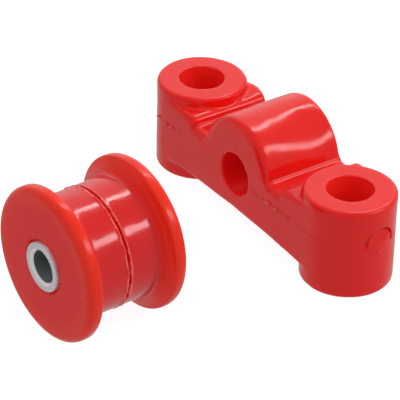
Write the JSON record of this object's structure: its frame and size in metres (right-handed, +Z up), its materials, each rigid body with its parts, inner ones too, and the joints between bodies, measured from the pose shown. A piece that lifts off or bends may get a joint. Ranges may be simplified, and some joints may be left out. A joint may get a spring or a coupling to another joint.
{
  "type": "sway bar mount bush set",
  "caption": "Flanged spool bush in two halves on a steel sleeve, beside a saddle mount block with bolt bosses and a cross hole.",
  "frame": {"origin": "in the plane of the block's feet, midway between its two bolt holes", "axes": "+Z up along the bolt holes, X through both bolt holes, Y along the block's cross hole; the spool bush lies on its flanges at -Y, its axis turned 3.3 degrees from Y"},
  "size_m": [0.1124, 0.1143, 0.05],
  "materials": {
    "polyurethane": "glossy moulded red polyurethane",
    "plated_steel": "zinc plated"
  },
  "bodies": {
    "block": {"mount_block": "polyurethane"},
    "bush": {"bush_front_half": "polyurethane"},
    "sleeve": {"inner_sleeve": "plated_steel"},
    "rear_half": {"bush_rear_half": "polyurethane"}
  },
  "joints": [
    {"name": "bush_lift", "type": "slide", "parent": "block", "child": "bush", "axis": [0, 0, 1], "range_m": [0, 0.06]},
    {"name": "sleeve_turn", "type": "hinge", "parent": "bush", "child": "sleeve", "pos_m": [0.01771, -0.07993, 0.025], "axis": [-0.0576, 0.9983, 0], "continuous": true},
    {"name": "rear_half_slide", "type": "slide", "parent": "bush", "child": "rear_half", "axis": [-0.0576, 0.9983, 0], "range_m": [0, 0.02]}
  ]
}
